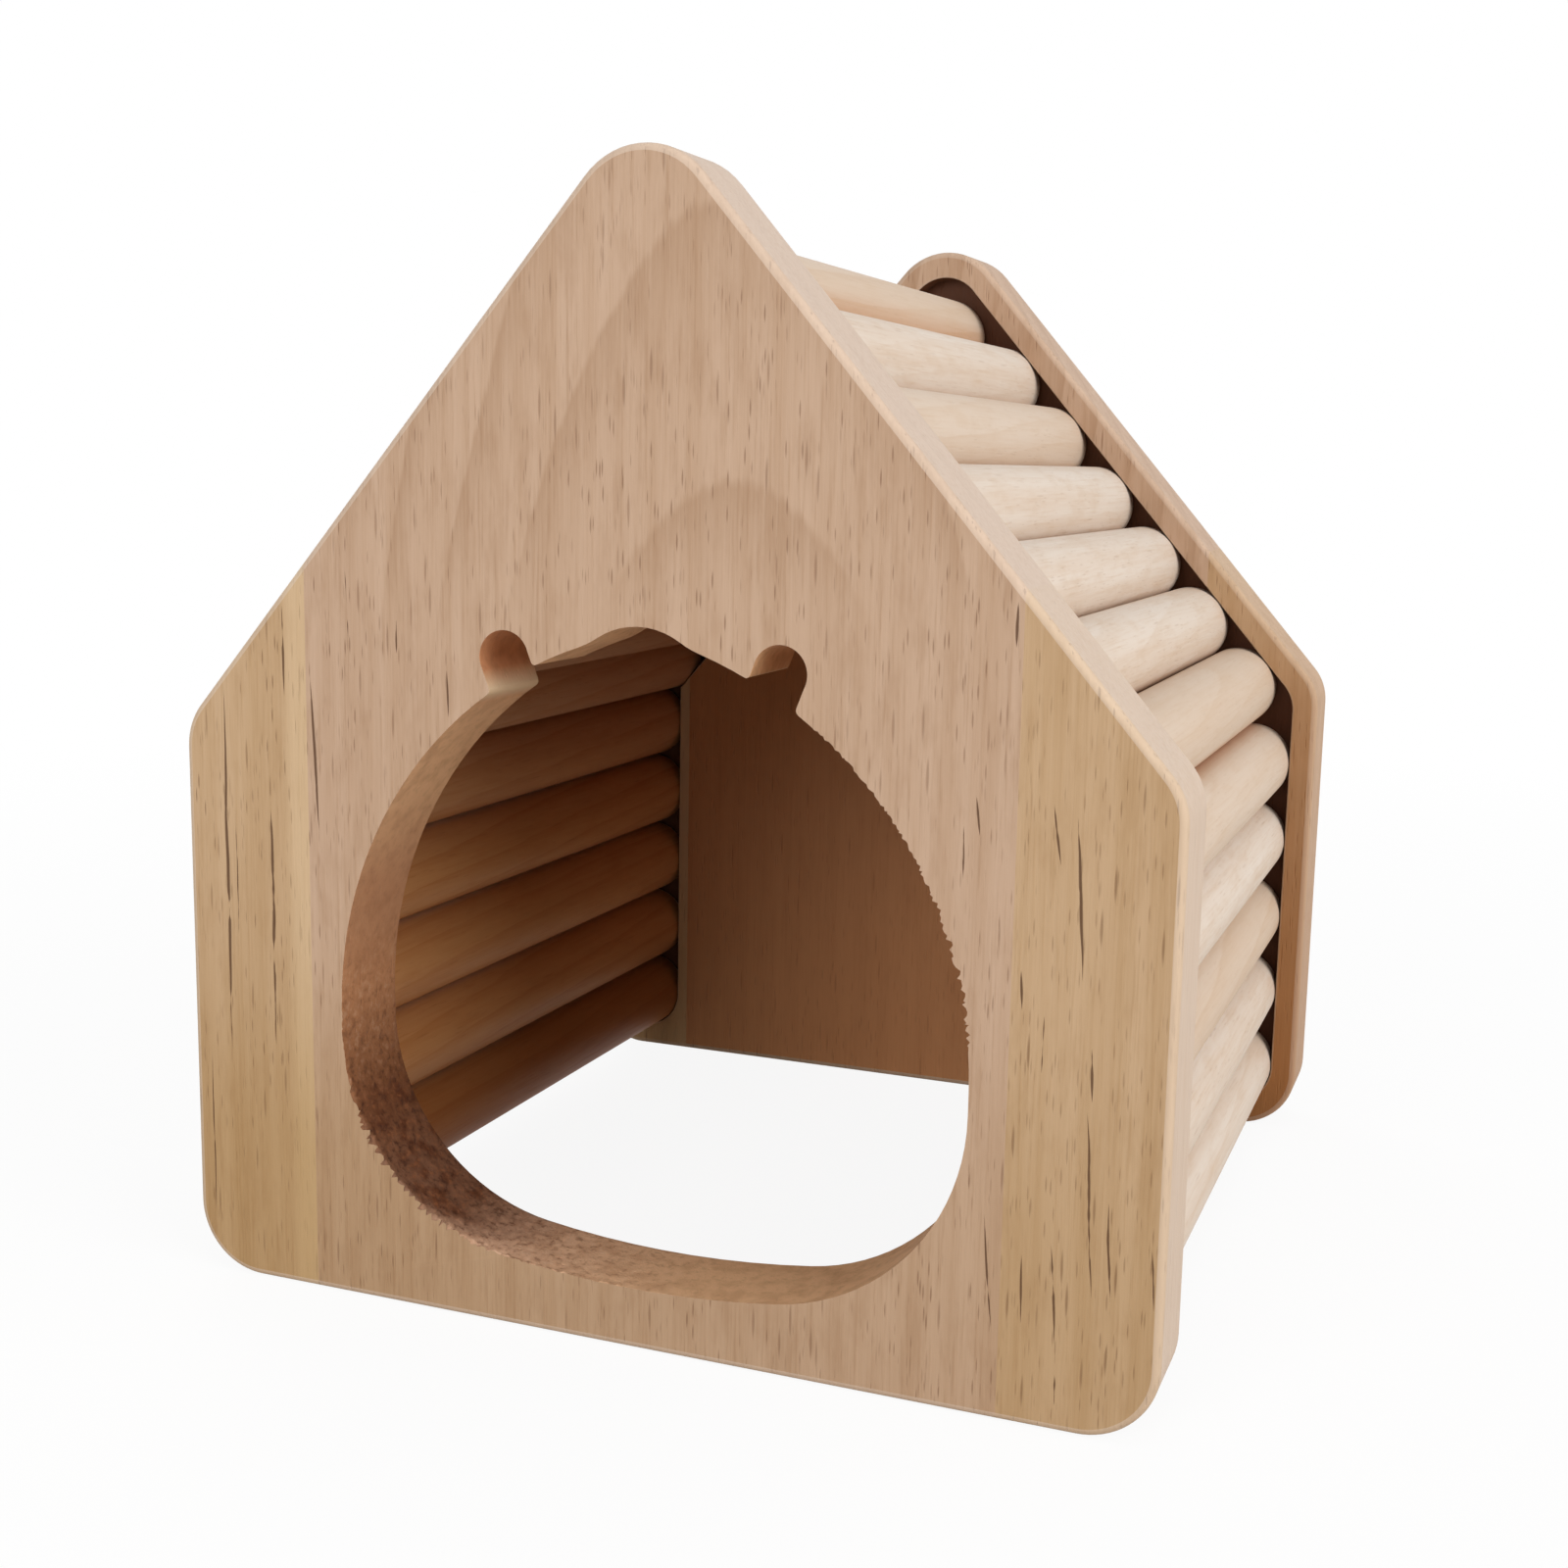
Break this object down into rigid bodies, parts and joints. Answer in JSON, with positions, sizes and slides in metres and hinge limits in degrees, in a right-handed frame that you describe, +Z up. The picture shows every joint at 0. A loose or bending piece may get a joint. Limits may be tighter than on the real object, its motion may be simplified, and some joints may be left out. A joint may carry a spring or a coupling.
{
  "type": "small animal hideout",
  "caption": "Wooden gabled hideout for a small pet: two end panels, one with an animal-head doorway, joined by rows of round dowels that form the walls and roof; open underneath.",
  "frame": {"origin": "on the ground, at the middle of the footprint", "axes": "+Z up; -Y is the front with the door, +Y the back; +X to the right as seen from the front"},
  "size_m": [0.125, 0.126, 0.1389],
  "materials": {
    "side_stave_wood": "bare sanded wood, yellowish tan, straight grain with dark pore streaks",
    "middle_stave_wood": "bare sanded wood, pinkish tan, flat-sawn arches and short pores",
    "dowel_wood": "bare sanded wood, pale cream"
  },
  "bodies": {
    "root": {"front_left_stave": "side_stave_wood", "front_middle_stave": "middle_stave_wood", "front_right_stave": "side_stave_wood", "back_left_stave": "side_stave_wood", "back_middle_stave": "middle_stave_wood", "back_right_stave": "side_stave_wood", "ridge_dowel": "dowel_wood", "left_roof_dowel_1": "dowel_wood", "left_roof_dowel_2": "dowel_wood", "left_roof_dowel_3": "dowel_wood", "left_roof_dowel_4": "dowel_wood", "left_roof_dowel_5": "dowel_wood", "left_roof_dowel_6": "dowel_wood", "right_roof_dowel_1": "dowel_wood", "right_roof_dowel_2": "dowel_wood", "right_roof_dowel_3": "dowel_wood", "right_roof_dowel_4": "dowel_wood", "right_roof_dowel_5": "dowel_wood", "right_roof_dowel_6": "dowel_wood", "left_wall_dowel_1": "dowel_wood", "left_wall_dowel_2": "dowel_wood", "left_wall_dowel_3": "dowel_wood", "left_wall_dowel_4": "dowel_wood", "left_wall_dowel_5": "dowel_wood", "right_wall_dowel_1": "dowel_wood", "right_wall_dowel_2": "dowel_wood", "right_wall_dowel_3": "dowel_wood", "right_wall_dowel_4": "dowel_wood", "right_wall_dowel_5": "dowel_wood"}
  },
  "joints": []
}
